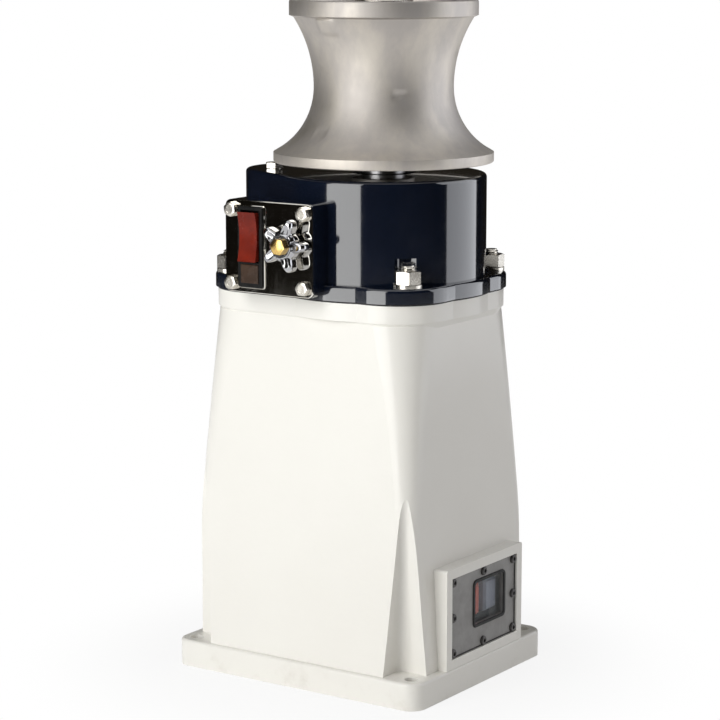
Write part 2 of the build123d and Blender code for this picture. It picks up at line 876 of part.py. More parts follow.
def drum_shaft():
    steps = [
        (foot_shaft_diameter / 2, lower_bearing_level + shaft_short, lower_bearing_top),
        (wheel_shaft_diameter / 2, lower_bearing_top, upper_bearing_level),
        (bearing_shaft_diameter / 2, upper_bearing_level, drum_bottom - hub_drop),
        (hub_shaft_diameter / 2, drum_bottom - hub_drop, shaft_end),
    ]
    shaft = stepped_shaft(steps)
    shaft -= Pos(0, 0, shaft_end - cap_bolt_reach) * rod(
        cap_bolt_diameter / 2 + seat_clearance, cap_bolt_reach
    )
    return Pos(drum_axis_x, 0, 0) * shaft - keyway()


def stepped_shaft(steps):
    # one turned piece from a list of radius, lower level and upper level
    points = [(0, steps[0][1])]
    for radius, low, high in steps:
        points += [(radius, low), (radius, high)]
    points.append((0, steps[-1][2]))
    return revolve(make_face(FRONT * Polyline(*points, close=True)), Axis.Z)


def drum_wheel():
    bore = wheel_shaft_diameter / 2 + seat_clearance
    wheel = spur_gear(drum_wheel_teeth, second_module, second_face, bore)
    rim = second_module * (drum_wheel_teeth / 2 - wheel_rim)
    hub = wheel_shaft_diameter / 2 + case_wall
    recess = (second_face - wheel_web) / 2
    for level in (0, second_face - recess):
        wheel -= Pos(0, 0, level) * tube(rim, hub, recess)
    return Pos(drum_axis_x, 0, second_level) * Rot(0, 0, 180) * wheel


def drum_cap():
    cap = rod(cap_diameter / 2, cap_thickness)
    cap = chamfer(cap.faces().sort_by(Axis.Z)[-1].edges(), cap_edge)
    cap -= rod(cap_bolt_diameter / 2 + bolt_clearance, cap_thickness)
    return Pos(drum_axis_x, 0, pan_level) * cap


def cap_bolt():
    shank = Pos(0, 0, -cap_bolt_reach + shaft_short) * rod(cap_bolt_diameter / 2, cap_bolt_reach)
    bolt = hexagon(cap_bolt_flats, cap_bolt_head) + shank
    return Pos(drum_axis_x, 0, pan_level + cap_thickness) * bolt


def bearing_outer(diameter, bore, width):
    # outer race of a sealed bearing; its shields reach down to the inner race
    return tube(diameter / 2, bore / 2 + race_thickness + race_gap, width)


def bearing_inner(bore, width):
    return tube(bore / 2 + race_thickness, bore / 2 + seat_clearance, width)


def shaft_seal():
    lip = bearing_shaft_diameter / 2 + running_clearance
    return Pos(drum_axis_x, 0, case_roof - seal_width) * tube(seal_diameter / 2, lip, seal_width)


def idler_shaft():
    pinion_level = second_level - tooth_extra / 2
    bottom = floor_top - idler_bush_length + shaft_short / 2
    shaft = Pos(0, 0, bottom) * rod(idler_shaft_diameter / 2, case_ceiling - shaft_short / 2 - bottom)
    pinion = extrude(gear_blank(idler_pinion_teeth, second_module), second_face + tooth_extra)
    pinion = Rot(0, 0, 180 / idler_pinion_teeth) * pinion
    return Pos(idler_x, 0, 0) * (shaft + Pos(0, 0, pinion_level) * pinion)


def idler_wheel():
    bore = idler_shaft_diameter / 2 + seat_clearance
    wheel = spur_gear(idler_wheel_teeth, first_module, first_face, bore)
    spacer = tube(idler_shaft_diameter / 2 + bush_wall, bore, first_level - floor_top)
    wheel = Rot(0, 0, rotor_swing) * wheel
    wheel += Pos(0, 0, floor_top - first_level + shaft_short / 2) * spacer
    return Pos(idler_x, 0, first_level) * wheel


def idler_bushes():
    radius = idler_shaft_diameter / 2
    bush = tube(radius + bush_wall, radius + running_clearance, idler_bush_length)
    levels = (floor_top - idler_bush_length, case_ceiling - idler_bush_length)
    return Compound([Pos(idler_x, 0, level) * bush for level in levels])


def on_rotor(level):
    return Pos(rotor_x, rotor_y, level)


def rotor_pinion():
    bore = motor_shaft_diameter / 2 + seat_clearance
    pinion = spur_gear(rotor_pinion_teeth, first_module, first_face, bore)
    turn = rotor_swing + 180 - 180 / rotor_pinion_teeth
    return on_rotor(first_level) * Rot(0, 0, turn) * pinion


def rotor_shaft():
    bottom = motor_bottom + motor_foot_thickness - motor_bush_length
    return on_rotor(bottom) * rod(motor_shaft_diameter / 2, first_level + first_face - bottom)


def rotor_core():
    radius = motor_diameter / 2 - motor_shell - magnet_thickness - air_gap
    core = Circle(radius)
    for slot in range(core_slots):
        core -= Rot(0, 0, 360 * slot / core_slots) * Pos(radius, 0) * Rectangle(
            2 * core_slot_depth, core_slot_width
        )
    core -= Circle(motor_shaft_diameter / 2 + seat_clearance)
    return on_rotor(magnet_level + (magnet_length - core_length) / 2) * extrude(core, core_length)


def commutator():
    bore = motor_shaft_diameter / 2 + seat_clearance
    return on_rotor(brush_level) * tube(commutator_diameter / 2, bore, commutator_length)


def motor_shell_tube():
    height = motor_head_bottom - motor_bottom - motor_foot_thickness
    radius = motor_diameter / 2
    return on_rotor(motor_bottom + motor_foot_thickness) * tube(radius, radius - motor_shell, height)


def motor_head():
    plate = rod(motor_diameter / 2, motor_head_thickness)
    plate += rod(
        motor_spigot_diameter / 2 - seat_clearance, motor_head_thickness + motor_spigot_height
    )
    plate -= rod(motor_shaft_diameter / 2 + bush_wall, 2 * motor_head_thickness)
    plate = on_rotor(motor_head_bottom) * plate
    for x, y in motor_screw_places():
        plate -= Pos(x, y, motor_head_bottom + motor_screw_seat) * rod(
            motor_screw_diameter / 2 + seat_clearance, motor_head_thickness
        )
    return plate


def motor_foot():
    plate = rod(motor_diameter / 2, motor_foot_thickness)
    plate = chamfer(plate.faces().sort_by(Axis.Z)[0].edges(), motor_foot_edge)
    plate -= Pos(0, 0, motor_foot_thickness - motor_bush_length) * rod(
        motor_shaft_diameter / 2 + bush_wall, motor_bush_length
    )
    return on_rotor(motor_bottom) * plate


def rotor_bushes():
    radius = motor_shaft_diameter / 2
    bush = tube(radius + bush_wall, radius + running_clearance, motor_bush_length)
    levels = (motor_bottom + motor_foot_thickness - motor_bush_length, motor_head_bottom)
    return Compound([on_rotor(level) * bush for level in levels])


def motor_magnets():
    radius = motor_diameter / 2 - motor_shell - seat_clearance
    ring = tube(radius, radius - magnet_thickness, magnet_length)
    gap = Box(2 * radius, 2 * radius * math.cos(math.radians(magnet_sweep / 2)), magnet_length)
    gap = Pos(0, 0, magnet_length / 2) * gap
    magnets = Rot(0, 0, 90) * (ring - gap)
    return on_rotor(magnet_level) * magnets


def brush_ring():
    radius = motor_diameter / 2 - motor_shell - seat_clearance
    ring = tube(radius, commutator_diameter / 2 + brush_ring_gap, brush_ring_height)
    slot = Pos(0, 0, brush_ring_height) * Box(
        2 * (commutator_diameter / 2 + running_clearance + brush_length),
        brush_width + 2 * seat_clearance,
        brush_width,
    )
    return on_rotor(motor_bottom + motor_foot_thickness) * (ring - slot)


def brushes():
    block = Box(brush_length, brush_width, brush_width / 2, align=(Align.MIN, Align.CENTER, Align.MAX))
    brush = Pos(commutator_diameter / 2 + running_clearance, 0, brush_ring_height) * block
    level = motor_bottom + motor_foot_thickness
    return Compound([on_rotor(level) * Rot(0, 0, turn) * brush for turn in (0, 180)])


def motor_screws():
    length = floor_thickness + motor_head_thickness - motor_screw_seat
    screw = rod(motor_screw_diameter / 2, length)
    screw += Pos(0, 0, length) * rod(motor_screw_head_diameter / 2, motor_screw_head)
    level = motor_head_bottom + motor_screw_seat
    return Compound([Pos(x, y, level) * screw for x, y in motor_screw_places()])


def oil_plug():
    plug = hexagon(plug_flats, plug_head) + Pos(0, 0, -plug_reach) * rod(plug_diameter / 2, plug_reach)
    return Pos(plug_x, plug_y, case_roof) * plug


def on_cover(y, z, depth=0):
    # frame on the terminal cover, looking out of it along +X
    return Pos(cover_face + depth, y, z) * Rot(0, 90, 90)


def terminal_cover():
    cover = extrude(
        RectangleRounded(
            cover_width - 2 * running_clearance,
            cover_height - 2 * running_clearance,
            cover_corner_radius,
        ),
        -cover_thickness,
    )
    window = RectangleRounded(pane_width, pane_height, pane_corner_radius)
    cover -= Pos(pane_offset_y, pane_offset_z, 0) * extrude(window, -cover_thickness)
    for y, z in cover_screw_places():
        cover -= Pos(y - box_middle, z - box_centre, -cover_thickness) * rod(
            cover_screw_diameter / 2 + bolt_clearance / 2, cover_thickness
        )
    return on_cover(box_middle, box_centre) * cover


def window_pane():
    pane = RectangleRounded(
        pane_width + 2 * pane_lap, pane_height + 2 * pane_lap, pane_corner_radius
    )
    return on_cover(pane_y, pane_z, -cover_thickness) * extrude(pane, -pane_thickness)


def cover_screws():
    screw = rod(cover_screw_head_diameter / 2, cover_screw_head)
    screw = chamfer(screw.faces().sort_by(Axis.Z)[-1].edges(), cover_screw_edge)
    screw += Pos(0, 0, -cover_screw_length) * rod(cover_screw_diameter / 2, cover_screw_length)
    return Compound([on_cover(y, z) * screw for y, z in cover_screw_places()])


def terminal_block():
    block = Box(terminal_block_depth, terminal_block_width, terminal_block_height)
    block = fillet(block.edges().filter_by(Axis.X), terminal_block_radius)
    block = Pos(room_back + terminal_block_depth / 2, box_middle, box_centre) * block
    for y in terminal_places():
        block -= Pos(room_back + terminal_block_depth / 2, y, pane_z) * Rot(0, 90, 0) * rod(
            terminal_diameter / 2 + seat_clearance, terminal_block_depth
        )
    return block


def terminal_places():
    return [pane_y - terminal_pitch / 2 + terminal_pitch * step for step in (0, 1)]


def terminal_studs():
    length = terminal_block_depth / 2 + terminal_reach
    stud = Rot(0, 90, 0) * rod(terminal_diameter / 2, length)
    level = room_back + terminal_block_depth / 2
    return Compound([Pos(level, y, pane_z) * stud for y in terminal_places()])


def terminal_boot(place):
    boot = Box(boot_depth, boot_width, boot_height, align=(Align.MIN, Align.CENTER, Align.CENTER))
    boot = chamfer(boot.faces().sort_by(Axis.X)[-1].edges(), boot_edge)
    hole = Rot(0, 90, 0) * rod(terminal_diameter / 2 + seat_clearance, terminal_reach)
    level = room_back + terminal_block_depth
    return Pos(level, terminal_places()[place], pane_z) * (boot - hole)


def save(name, shape):
    print(name, round(shape.volume, 1))
    export_step(shape, "parts/" + name + ".step")


os.makedirs("parts", exist_ok=True)
save("pedestal", pedestal())
save("case_gasket", case_gasket())
save("gear_case", gear_case())
save("gear_floor", gear_floor())
save("case_studs", case_studs())
save("case_washers", case_washers())
save("case_nuts", case_nuts())
save("switch_plate", switch_plate())
save("plate_bolts", plate_bolts())
save("switch_bezel", switch_bezel())
save("rocker_pin", rocker_pin())
save("rocker_button", rocker())
save("switch_lamp", switch_lamp())
save("speed_knob", speed_knob())
save("knob_nut", knob_nut())
save("knob_spindle", knob_spindle())
save("speed_dial", speed_dial())
save("bush_nut", bush_nut())
save("drum", drum() - keyway())
save("drum_key", drum_key())
save("drum_shaft", drum_shaft())
save("drum_wheel", drum_wheel())
save("drum_cap", drum_cap())
save("cap_bolt", cap_bolt())
for name, diameter, bore, width, level in (
    ("upper", upper_bearing_diameter, bearing_shaft_diameter, upper_bearing_width, upper_bearing_level),
    ("lower", lower_bearing_diameter, foot_shaft_diameter, lower_bearing_width, lower_bearing_level),
):
    place = Pos(drum_axis_x, 0, level)
    save(name + "_bearing_outer", place * bearing_outer(diameter, bore, width))
    save(name + "_bearing_inner", place * bearing_inner(bore, width))
save("shaft_seal", shaft_seal())
save("idler_shaft", idler_shaft())
save("idler_wheel", idler_wheel())
save("idler_bushes", idler_bushes())
save("rotor_pinion", rotor_pinion())
save("rotor_shaft", rotor_shaft())
save("rotor_core", rotor_core())
save("commutator", commutator())
save("motor_shell", motor_shell_tube())
save("motor_head", motor_head())
save("motor_foot", motor_foot())
save("rotor_bushes", rotor_bushes())
save("motor_magnets", motor_magnets())
save("brush_ring", brush_ring())
save("brushes", brushes())
save("motor_screws", motor_screws())
save("oil_plug", oil_plug())
save("terminal_cover", terminal_cover())
save("window_pane", window_pane())
save("cover_screws", cover_screws())
save("terminal_block", terminal_block())
save("terminal_studs", terminal_studs())
save("red_boot", terminal_boot(0))
save("grey_boot", terminal_boot(1))
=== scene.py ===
import json
import math

import bmesh
import bpy
from mathutils import Matrix, Vector


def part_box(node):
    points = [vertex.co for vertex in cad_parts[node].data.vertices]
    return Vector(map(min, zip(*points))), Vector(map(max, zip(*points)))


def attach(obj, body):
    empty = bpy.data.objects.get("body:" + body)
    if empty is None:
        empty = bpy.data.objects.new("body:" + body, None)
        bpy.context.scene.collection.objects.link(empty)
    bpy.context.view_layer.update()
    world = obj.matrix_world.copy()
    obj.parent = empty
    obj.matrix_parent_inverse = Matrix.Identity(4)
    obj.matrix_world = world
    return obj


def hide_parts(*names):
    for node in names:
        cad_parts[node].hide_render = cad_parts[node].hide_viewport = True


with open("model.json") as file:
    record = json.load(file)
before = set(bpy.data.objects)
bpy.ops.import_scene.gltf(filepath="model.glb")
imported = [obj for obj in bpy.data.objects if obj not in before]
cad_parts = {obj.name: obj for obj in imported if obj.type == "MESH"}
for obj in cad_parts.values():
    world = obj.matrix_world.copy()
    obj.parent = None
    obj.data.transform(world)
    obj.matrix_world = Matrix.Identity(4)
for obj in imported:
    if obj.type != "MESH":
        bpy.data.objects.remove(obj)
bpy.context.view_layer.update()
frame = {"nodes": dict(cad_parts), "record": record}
nodes = frame["nodes"]
print("frame loaded,", len(nodes), "nodes")


def addObject(name, data):
    obj = bpy.data.objects.new(name, data)
    bpy.context.scene.collection.objects.link(obj)
    return obj


def aim(obj, place, direction):
    obj.location = place
    obj.rotation_mode = "QUATERNION"
    obj.rotation_quaternion = direction.to_track_quat("-Z", "Y")


# camera, at the photo's place

camera = {
    "place": (1.0941, -1.6179, 0.5937),
    "bearing": 34.09,  # degrees from -Y towards +X
    "pitch": 9.89,  # degrees down
    "lens": 120.9, "sensor": 36, "nearest": 0.05, "furthest": 60,
}


def makeCamera(look):
    data = bpy.data.cameras.new("photoCamera")
    data.lens, data.sensor_width = look["lens"], look["sensor"]
    data.clip_start, data.clip_end = look["nearest"], look["furthest"]
    bearing, pitch = math.radians(look["bearing"]), math.radians(look["pitch"])
    level = math.cos(pitch)
    obj = addObject("photoCamera", data)
    aim(obj, look["place"], Vector((
        -math.sin(bearing) * level, math.cos(bearing) * level, -math.sin(pitch))))
    bpy.context.scene.camera = obj


makeCamera(camera)
bpy.context.scene.view_settings.view_transform = "Standard"
print("camera set")


# shader kit

class Wire:
    # a socket that can be used in a plain expression
    def __init__(self, finish, socket):
        self.finish = finish
        self.socket = socket

    def calc(self, operation, first, second):
        return self.finish.add("Math", {"operation": operation}, {0: first, 1: second})

    def __add__(self, other):
        return self.calc("ADD", self, other)

    def __sub__(self, other):
        return self.calc("SUBTRACT", self, other)

    def __rsub__(self, other):
        return self.calc("SUBTRACT", other, self)

    def __mul__(self, other):
        return self.calc("MULTIPLY", self, other)

    def either(self, other):
        return self.calc("MAXIMUM", self, other)

    __radd__ = __add__
    __rmul__ = __mul__


class Finish:
    # the node tree of one material, or of the world, and the few calls that fill it
    def __init__(self, owner):
        owner.use_nodes = True
        self.owner, self.tree = owner, owner.node_tree
        self.tree.nodes.clear()

    def add(self, kind, settings=None, sockets=None, output=0):
        node = self.tree.nodes.new("ShaderNode" + kind)
        for key, value in (settings or {}).items():
            setattr(node, key, value)
        for key, value in (sockets or {}).items():
            if isinstance(value, Wire):
                self.tree.links.new(value.socket, node.inputs[key])
            else:
                node.inputs[key].default_value = value
        return Wire(self, node.outputs[output]) if len(node.outputs) else None

    def place(self):
        return self.add("TexCoord", output="Object")

    def height(self):
        return self.add("SeparateXYZ", {}, {0: self.place()}, "Z")

    def noise(self, scale, detail=3, roughness=0.5, stretch=(1, 1, 1), offset=(0, 0, 0)):
        spot = self.add("Mapping", {}, {"Vector": self.place(), "Scale": stretch, "Location": offset})
        return self.add("TexNoise", {}, {
            "Vector": spot, "Scale": scale, "Detail": detail, "Roughness": roughness})

    def step(self, value, low, high, bottom=0, top=1):
        return self.add("MapRange", {"interpolation_type": "SMOOTHSTEP"}, {
            "Value": value, "From Min": low, "From Max": high, "To Min": bottom, "To Max": top})

    def mix(self, factor, first, second):
        # the colours of a Mix node are its sockets 6 and 7, and its output 2
        return self.add("Mix", {"data_type": "RGBA"}, {0: factor, 6: first, 7: second}, 2)

    def bump(self, height, distance, strength=0.5, under=None):
        sockets = {"Height": height, "Distance": distance, "Strength": strength}
        return self.add("Bump", {}, sockets if under is None else {**sockets, "Normal": under})

    def seen(self):
        # 1 for what the camera, a mirror or a clear pane shows, and 0 for what lights the object
        rays = [self.add("LightPath", output="Is " + ray + " Ray") for ray in (
            "Camera", "Glossy", "Transmission")]
        return rays[0].either(rays[1]).either(rays[2])

    def show(self, shader, output="OutputMaterial"):
        self.add(output, {}, {"Surface": shader})
        return self.owner

    def surface(self, sockets):
        return self.show(self.add("BsdfPrincipled", {}, sockets))


def newFinish(name):
    return Finish(bpy.data.materials.new(name))


def rgb(red, green, blue):
    return (red, green, blue, 1)


white = rgb(1, 1, 1)
finishes = {}


# cream paint of the pedestal, darker and browner in blotches towards its foot

creamPaint = {
    "light": rgb(0.86, 0.845, 0.80), "shade": rgb(0.79, 0.765, 0.715), "darkening": rgb(0.50, 0.45, 0.38),
    "cloudScale": 5, "cloudShare": 0.4, "fleckScale": 420, "fleckShare": 0.06,
    "darkeningHeight": 0.030, "darkeningScale": 35, "darkeningShare": 0.35,
    "roughness": 0.33, "cloudRoughness": 0.08, "fleckRoughness": 0.05,
    "wave": 0.0008, "waveScale": 22, "waveStrength": 0.25,
    "peel": 0.00025, "peelScale": 160, "grainScale": 700, "grainShare": 0.35,
    "coat": 0.3, "coatRoughness": 0.14,
}


def makeCreamPaint(look):
    f = newFinish("creamPaint")
    cloud = f.step(f.noise(look["cloudScale"]), 0.35, 0.7)
    fleck = f.noise(look["fleckScale"], 2, 0.6)
    # below the darkening height the paint turns darker and browner in blotches, more so towards the foot
    nearFoot = f.step(f.height(), look["darkeningHeight"], 0)
    darkening = nearFoot * f.step(f.noise(look["darkeningScale"], 5, 0.7), 0.5, 0.8) * look["darkeningShare"]
    tint = f.mix(cloud * look["cloudShare"], look["light"], look["shade"])
    colour = f.mix(darkening + f.step(fleck, 0.70, 0.80, 0, look["fleckShare"]), tint, look["darkening"])
    gloss = look["roughness"] + look["cloudRoughness"] * cloud + look["fleckRoughness"] * fleck
    wave = f.bump(f.noise(look["waveScale"], 2, 0.4), look["wave"], look["waveStrength"])
    peel = f.noise(look["peelScale"], 2, 0.4) + look["grainShare"] * f.noise(look["grainScale"], 2)
    return f.surface({
        "Base Color": colour, "Roughness": gloss, "Normal": f.bump(peel, look["peel"], under=wave),
        "Coat Weight": look["coat"], "Coat Roughness": look["coatRoughness"]})


finishes["cream_paint"] = makeCreamPaint(creamPaint)


# navy paint of the gear case, under a clear coat

navyPaint = {
    "light": rgb(0.006, 0.010, 0.022), "shade": rgb(0.003, 0.005, 0.012), "cloudScale": 14,
    "dust": rgb(0.16, 0.16, 0.17), "dustScale": 260, "dustShare": 0.05,
    "roughness": 0.10, "smearScale": 60, "smearRoughness": 0.05,
    "peel": 0.00004, "peelScale": 120, "grainScale": 900, "grainShare": 0.3,
    "coat": 1.0, "coatRoughness": 0.03,
}


def makeNavyPaint(look):
    f = newFinish("navyPaint")
    dust = f.step(f.noise(look["dustScale"], 3, 0.7), 0.66, 0.80, 0, look["dustShare"])
    tint = f.mix(f.noise(look["cloudScale"]), look["light"], look["shade"])
    smear = f.step(f.noise(look["smearScale"], 4, 0.6), 0.45, 0.8)
    peel = f.noise(look["peelScale"], 2, 0.4) + look["grainShare"] * f.noise(look["grainScale"], 2)
    return f.surface({
        "Base Color": f.mix(dust, tint, look["dust"]),
        "Roughness": look["roughness"] + look["smearRoughness"] * smear,
        "Normal": f.bump(peel, look["peel"]),
        "Coat Weight": look["coat"], "Coat Roughness": look["coatRoughness"]})


finishes["navy_paint"] = makeNavyPaint(navyPaint)


# bare metals: clouded, with fine scratches both ways and smudges

metalSkin = {
    "cloudScale": 70, "scratchScale": 900, "scratchStretch": 0.06,
    "smudgeScale": 130, "smudgeShare": 0.6, "scratchShare": 0.4,
}
metals = {
    "bright_steel": {
        "light": rgb(0.72, 0.69, 0.63), "shade": rgb(0.50, 0.47, 0.42),
        "rough": 0.20, "spread": 0.18, "grain": 0.00003},
    "mirror_plate": {
        "light": rgb(0.80, 0.78, 0.73), "shade": rgb(0.70, 0.67, 0.60),
        "rough": 0.03, "spread": 0.05, "grain": 0.000004},
    "chrome_knob": {
        "light": rgb(0.52, 0.52, 0.53), "shade": rgb(0.36, 0.36, 0.38),
        "rough": 0.09, "spread": 0.10, "grain": 0.00001},
    "brass": {
        "light": rgb(0.83, 0.58, 0.20), "shade": rgb(0.62, 0.40, 0.13),
        "rough": 0.20, "spread": 0.18, "grain": 0.00002},
    "bronze": {
        "light": rgb(0.62, 0.38, 0.18), "shade": rgb(0.42, 0.25, 0.12),
        "rough": 0.30, "spread": 0.2, "grain": 0.00003},
    "gear_steel": {
        "light": rgb(0.50, 0.50, 0.51), "shade": rgb(0.34, 0.33, 0.33),
        "rough": 0.28, "spread": 0.2, "grain": 0.00003},
    "core_steel": {
        "light": rgb(0.32, 0.31, 0.31), "shade": rgb(0.20, 0.19, 0.18),
        "rough": 0.45, "spread": 0.2, "grain": 0.00005},
    "cast_aluminium": {
        "light": rgb(0.62, 0.63, 0.64), "shade": rgb(0.46, 0.46, 0.47),
        "rough": 0.50, "spread": 0.2, "grain": 0.00015},
}


def makeMetal(name, look, skin):
    f = newFinish(name)
    cloud = f.noise(skin["cloudScale"], 4, 0.6)
    scratches = [
        f.noise(skin["scratchScale"], 3, 0.6, stretch) * 0.5
        for stretch in ((1, 1, skin["scratchStretch"]), (skin["scratchStretch"], 1, 1))]
    scratch = scratches[0] + scratches[1]
    smudge = f.step(f.noise(skin["smudgeScale"], 5, 0.7, offset=(3, 1, 2)), 0.45, 0.75)
    wear = skin["smudgeShare"] * smudge + skin["scratchShare"] * scratch
    return f.surface({
        "Base Color": f.mix(f.step(cloud, 0.3, 0.75), look["light"], look["shade"]), "Metallic": 1.0,
        "Roughness": look["rough"] + look["spread"] * wear,
        "Normal": f.bump(scratch + 0.5 * cloud, look["grain"])})


for name, look in metals.items():
    finishes[name] = makeMetal(name, look, metalSkin)


# sand-cast stainless drum: mottled, with faint rings where ropes have run

drumFinish = {
    "warm": rgb(0.60, 0.56, 0.505), "cool": rgb(0.50, 0.47, 0.445), "dark": rgb(0.24, 0.22, 0.21),
    "blotchScale": 26, "sandScale": 1300, "ringScale": 150, "pitScale": 340, "stainScale": 48,
    "pitShare": 0.35, "stainShare": 0.25,
    "roughness": 0.53, "blotchRoughness": 0.10, "ringRoughness": 0.05, "sandRoughness": 0.06,
    "relief": 0.00016, "reliefStrength": 0.55, "waveScale": 90,
    "sandHeight": 0.4, "ringHeight": 0.15, "pitDepth": 0.8, "waveHeight": 0.6,
}


def makeDrumFinish(look):
    f = newFinish("castStainless")
    blotch = f.noise(look["blotchScale"], 5, 0.62, (1, 1, 0.45))
    sand = f.noise(look["sandScale"], 2, 0.6)
    rings = f.noise(look["ringScale"], 2, 0.5, (0.05, 0.05, 1.2))
    pits = f.step(f.noise(look["pitScale"], 3, 0.75, offset=(5, 2, 1)), 0.70, 0.78)
    stain = f.step(f.noise(look["stainScale"], 6, 0.72, (1, 1, 0.6), (2, 7, 3)), 0.60, 0.78)
    tint = f.mix(f.step(blotch, 0.35, 0.65), look["warm"], look["cool"])
    colour = f.mix(pits * look["pitShare"] + stain * look["stainShare"], tint, look["dark"])
    gloss = look["roughness"] + look["blotchRoughness"] * f.step(blotch, 0.3, 0.7)
    gloss = gloss + look["ringRoughness"] * rings - look["sandRoughness"] * sand
    height = look["sandHeight"] * sand + look["ringHeight"] * rings - look["pitDepth"] * pits
    height = height + look["waveHeight"] * f.noise(look["waveScale"])
    return f.surface({
        "Base Color": colour, "Metallic": 1.0, "Roughness": gloss,
        "Normal": f.bump(height, look["relief"], look["reliefStrength"])})


finishes["cast_stainless"] = makeDrumFinish(drumFinish)


# plastics, rubbers, magnets and dark finishes: faintly clouded, with a fine grain

softSkin = {
    "cloudScale": 60, "grainScale": 1500, "grainRoughness": 0.04,
    "smudgeScale": 110, "smudgeRoughness": 0.12, "shine": 0.5,
}
softs = {
    "black_plastic": {
        "light": rgb(0.010, 0.010, 0.010), "shade": rgb(0.006, 0.006, 0.006),
        "rough": 0.25, "grain": 0.00004, "shine": 0.14},
    "red_plastic": {
        "light": rgb(0.20, 0.016, 0.006), "shade": rgb(0.13, 0.011, 0.005),
        "rough": 0.18, "grain": 0.00002, "shine": 0.20},
    "amber_plastic": {
        "light": rgb(0.065, 0.036, 0.022), "shade": rgb(0.040, 0.024, 0.016),
        "rough": 0.20, "grain": 0.00002, "shine": 0.20},
    "dark_steel": {
        "light": rgb(0.050, 0.045, 0.042), "shade": rgb(0.028, 0.025, 0.024),
        "rough": 0.34, "grain": 0.00003},
    "gasket_rubber": {
        "light": rgb(0.030, 0.030, 0.030), "shade": rgb(0.018, 0.018, 0.018),
        "rough": 0.75, "grain": 0.00008},
    "motor_paint": {
        "light": rgb(0.030, 0.031, 0.034), "shade": rgb(0.020, 0.020, 0.022),
        "rough": 0.40, "grain": 0.00008},
    "ferrite": {
        "light": rgb(0.060, 0.060, 0.062), "shade": rgb(0.040, 0.040, 0.042),
        "rough": 0.60, "grain": 0.00010},
    "insulating_plastic": {
        "light": rgb(0.050, 0.042, 0.034), "shade": rgb(0.032, 0.028, 0.024),
        "rough": 0.50, "grain": 0.00006},
    "grey_plastic": {
        "light": rgb(0.26, 0.255, 0.25), "shade": rgb(0.20, 0.195, 0.19),
        "rough": 0.38, "grain": 0.00008},
    "red_rubber": {
        "light": rgb(0.82, 0.15, 0.085), "shade": rgb(0.66, 0.11, 0.065),
        "rough": 0.5, "grain": 0.00006},
    "grey_rubber": {
        "light": rgb(0.42, 0.46, 0.57), "shade": rgb(0.33, 0.36, 0.45),
        "rough": 0.5, "grain": 0.00006},
}


def makeSoft(name, look, skin):
    f = newFinish(name)
    cloud = f.step(f.noise(skin["cloudScale"], 4, 0.6), 0.3, 0.7)
    grain = f.noise(skin["grainScale"], 2)
    smudge = f.step(f.noise(skin["smudgeScale"], 4, 0.65), 0.4, 0.75)
    return f.surface({
        "Base Color": f.mix(cloud, look["light"], look["shade"]),
        "Roughness": look["rough"] + skin["smudgeRoughness"] * smudge + skin["grainRoughness"] * grain,
        "Normal": f.bump(grain, look["grain"]), "Specular IOR Level": look.get("shine", skin["shine"])})


for name, look in softs.items():
    finishes[name] = makeSoft(name, look, softSkin)


# clear pane of the terminal cover, slightly smeared

clearPane = {
    "colour": rgb(0.30, 0.33, 0.35), "alpha": 0.16, "roughness": 0.03,
    "smearScale": 70, "smearAlpha": 0.10, "smearRoughness": 0.12, "smearHeight": 0.00002,
}


def makeClearPane(look):
    f = newFinish("clearPane")
    smear = f.step(f.noise(look["smearScale"], 5, 0.7, (1, 0.4, 1)), 0.45, 0.8)
    return f.surface({
        "Base Color": look["colour"], "Roughness": look["roughness"] + look["smearRoughness"] * smear,
        "Alpha": look["alpha"] + look["smearAlpha"] * smear,
        "Normal": f.bump(smear, look["smearHeight"], 0.4)})


finishes["clear_pane"] = makeClearPane(clearPane)
print("finishes made,", len(finishes))


def dress(obj, slot):
    obj.data.materials.clear()
    obj.data.materials.append(finishes[slot])


for row in frame["record"]["subparts"]:
    dress(nodes[row["node"]], row["material_slot"])
print("nodes dressed")


# mesh kit: every helper works in metres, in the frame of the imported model

weldGap = 0.000001
axisRadius = 0.00001  # a ring this thin closes a face round its axis
faceShare = 0.482  # radius of a hexagon's turned face, as a share of its flats
outOfPlate = Matrix.Rotation(math.radians(90), 4, "X")  # local Z looks along -Y
outOfCover = Matrix(((0, 0, 1, 0), (1, 0, 0, 0), (0, 1, 0, 0), (0, 0, 0, 1)))  # along +X


def spun(degrees):
    return Matrix.Rotation(math.radians(degrees), 4, "Z")


def middle(node):
    low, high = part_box(node)
    return (Vector(low) + Vector(high)) / 2


def cornerSpots(node, axes, insets):
    # centres of the copies that stand in the four corners of a node's box
    low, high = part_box(node)
    (first, second), (across, up) = axes, insets
    return [
        (x, y) for x in (low[first] + across, high[first] - across)
        for y in (low[second] + up, high[second] - up)]


def turned(rings, sides):
    # closed skin through rings; each ring gives the radius and the height at an angle
    points, faces = [], []
    for ring in rings:
        for side in range(sides):
            angle = 2 * math.pi * side / sides
            radius, height = ring(angle)
            points.append((radius * math.cos(angle), radius * math.sin(angle), height))
    for low in range(len(rings)):
        high = (low + 1) % len(rings)
        for side in range(sides):
            after = (side + 1) % sides
            faces.append((
                low * sides + side, low * sides + after, high * sides + after, high * sides + side))
    return points, faces


def plainRings(*rows):
    # a round ring for each radius and height
    return [lambda angle, row=row: row for row in rows]


def hexRing(flats, height, drop=0.0):
    # ring along a hexagon; drop lowers it towards the corners, as a turned chamfer does
    def at(angle):
        radius = flats / 2 / math.cos((angle + math.pi / 6) % (math.pi / 3) - math.pi / 6)
        return radius, height - drop * max(0, radius - flats * faceShare)
    return at


